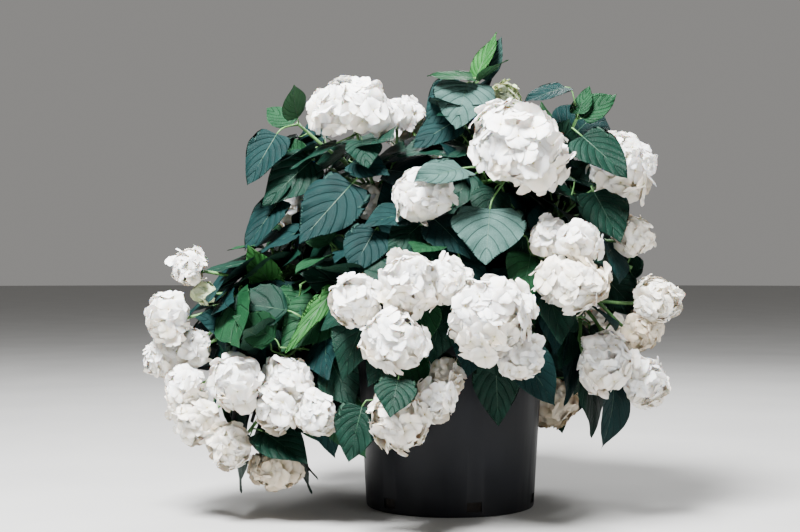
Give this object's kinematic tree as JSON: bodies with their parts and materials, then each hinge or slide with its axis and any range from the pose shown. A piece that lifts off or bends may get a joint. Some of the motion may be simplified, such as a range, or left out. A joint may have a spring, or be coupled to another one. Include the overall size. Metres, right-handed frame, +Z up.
{
  "type": "hydrangea shrub in a nursery pot",
  "caption": "Broad rounded garden shrub with large toothed leaves and white mophead flower heads, arching over the rim of a plain round black pot.",
  "frame": {"origin": "centre of the pot's flat underside", "axes": "+Z up the pot's axis, -Y towards the side with the fullest flowers, +X to that side's right"},
  "size_m": [0.9203, 0.8497, 0.8346],
  "materials": {
    "pot": "satin",
    "potting_mix": "matte",
    "cane": "matte",
    "foliage": "matte"
  },
  "bodies": {
    "root": {"pot": "pot", "potting_mix": "potting_mix", "cane_top": "cane", "mass_top": "foliage", "cane_upper_left": "cane", "mass_upper_left": "foliage", "cane_upper_right": "cane", "mass_upper_right": "foliage", "cane_centre_left": "cane", "mass_centre_left": "foliage", "cane_front_centre": "cane", "mass_front_centre": "foliage", "cane_front_low": "cane", "mass_front_low": "foliage", "cane_right_middle": "cane", "mass_right_middle": "foliage", "cane_right_side": "cane", "mass_right_side": "foliage", "cane_left_inner": "cane", "mass_left_inner": "foliage", "cane_left_upper": "cane", "mass_left_upper": "foliage", "cane_left_lower": "cane", "mass_left_lower": "foliage", "cane_back_top": "cane", "mass_back_top": "foliage", "cane_back_left": "cane", "mass_back_left": "foliage", "cane_back_middle": "cane", "mass_back_middle": "foliage", "cane_back_right": "cane", "mass_back_right": "foliage", "cane_back_low_left": "cane", "mass_back_low_left": "foliage", "cane_back_low_right": "cane", "mass_back_low_right": "foliage"}
  },
  "joints": []
}
